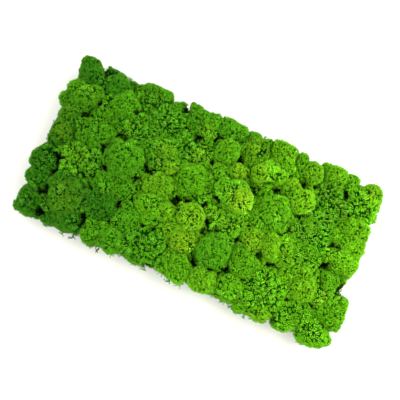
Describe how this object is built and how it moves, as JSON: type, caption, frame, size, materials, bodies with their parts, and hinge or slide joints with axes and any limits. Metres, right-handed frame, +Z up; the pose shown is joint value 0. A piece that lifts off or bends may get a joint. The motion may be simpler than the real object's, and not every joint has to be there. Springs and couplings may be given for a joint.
{
  "type": "preserved moss clump",
  "caption": "Cushion of preserved reindeer moss: round, star-tipped green heads grown close together on short cut stalks, flat underneath, for laying in planters, frames and walls.",
  "frame": {"origin": "middle of the flat underside, on the surface that the clump rests on", "axes": "+X along the clump's length, +Y across it, +Z up through the heads"},
  "size_m": [0.392, 0.198, 0.0623],
  "materials": {
    "lichen_deep": "matte",
    "lichen_leaf": "matte",
    "lichen_bright": "matte",
    "lichen_lime": "matte"
  },
  "bodies": {
    "root": {"tuft_01": "lichen_deep", "tuft_02": "lichen_leaf", "tuft_03": "lichen_deep", "tuft_04": "lichen_leaf", "tuft_05": "lichen_leaf", "tuft_06": "lichen_leaf", "tuft_07": "lichen_leaf", "tuft_08": "lichen_leaf", "tuft_09": "lichen_deep", "tuft_10": "lichen_leaf", "tuft_11": "lichen_leaf", "tuft_12": "lichen_deep", "tuft_13": "lichen_deep", "tuft_14": "lichen_deep", "tuft_15": "lichen_deep", "tuft_16": "lichen_leaf", "tuft_17": "lichen_deep", "tuft_18": "lichen_leaf", "tuft_19": "lichen_leaf", "tuft_20": "lichen_bright", "tuft_21": "lichen_bright", "tuft_22": "lichen_leaf", "tuft_23": "lichen_leaf", "tuft_24": "lichen_leaf", "tuft_25": "lichen_leaf", "tuft_26": "lichen_bright", "tuft_27": "lichen_leaf", "tuft_28": "lichen_lime", "tuft_29": "lichen_lime", "tuft_30": "lichen_bright", "tuft_31": "lichen_bright", "tuft_32": "lichen_leaf", "tuft_33": "lichen_bright", "tuft_34": "lichen_lime", "tuft_35": "lichen_leaf", "tuft_36": "lichen_lime", "tuft_37": "lichen_bright", "tuft_38": "lichen_bright", "tuft_39": "lichen_bright", "tuft_40": "lichen_bright", "tuft_41": "lichen_bright", "tuft_42": "lichen_lime", "tuft_43": "lichen_leaf", "tuft_44": "lichen_bright", "tuft_45": "lichen_bright", "tuft_46": "lichen_leaf", "tuft_47": "lichen_bright", "tuft_48": "lichen_bright", "tuft_49": "lichen_bright", "tuft_50": "lichen_bright", "tuft_51": "lichen_lime", "tuft_52": "lichen_bright", "tuft_53": "lichen_lime", "tuft_54": "lichen_bright", "tuft_55": "lichen_bright", "tuft_56": "lichen_bright", "tuft_57": "lichen_bright"}
  },
  "joints": []
}
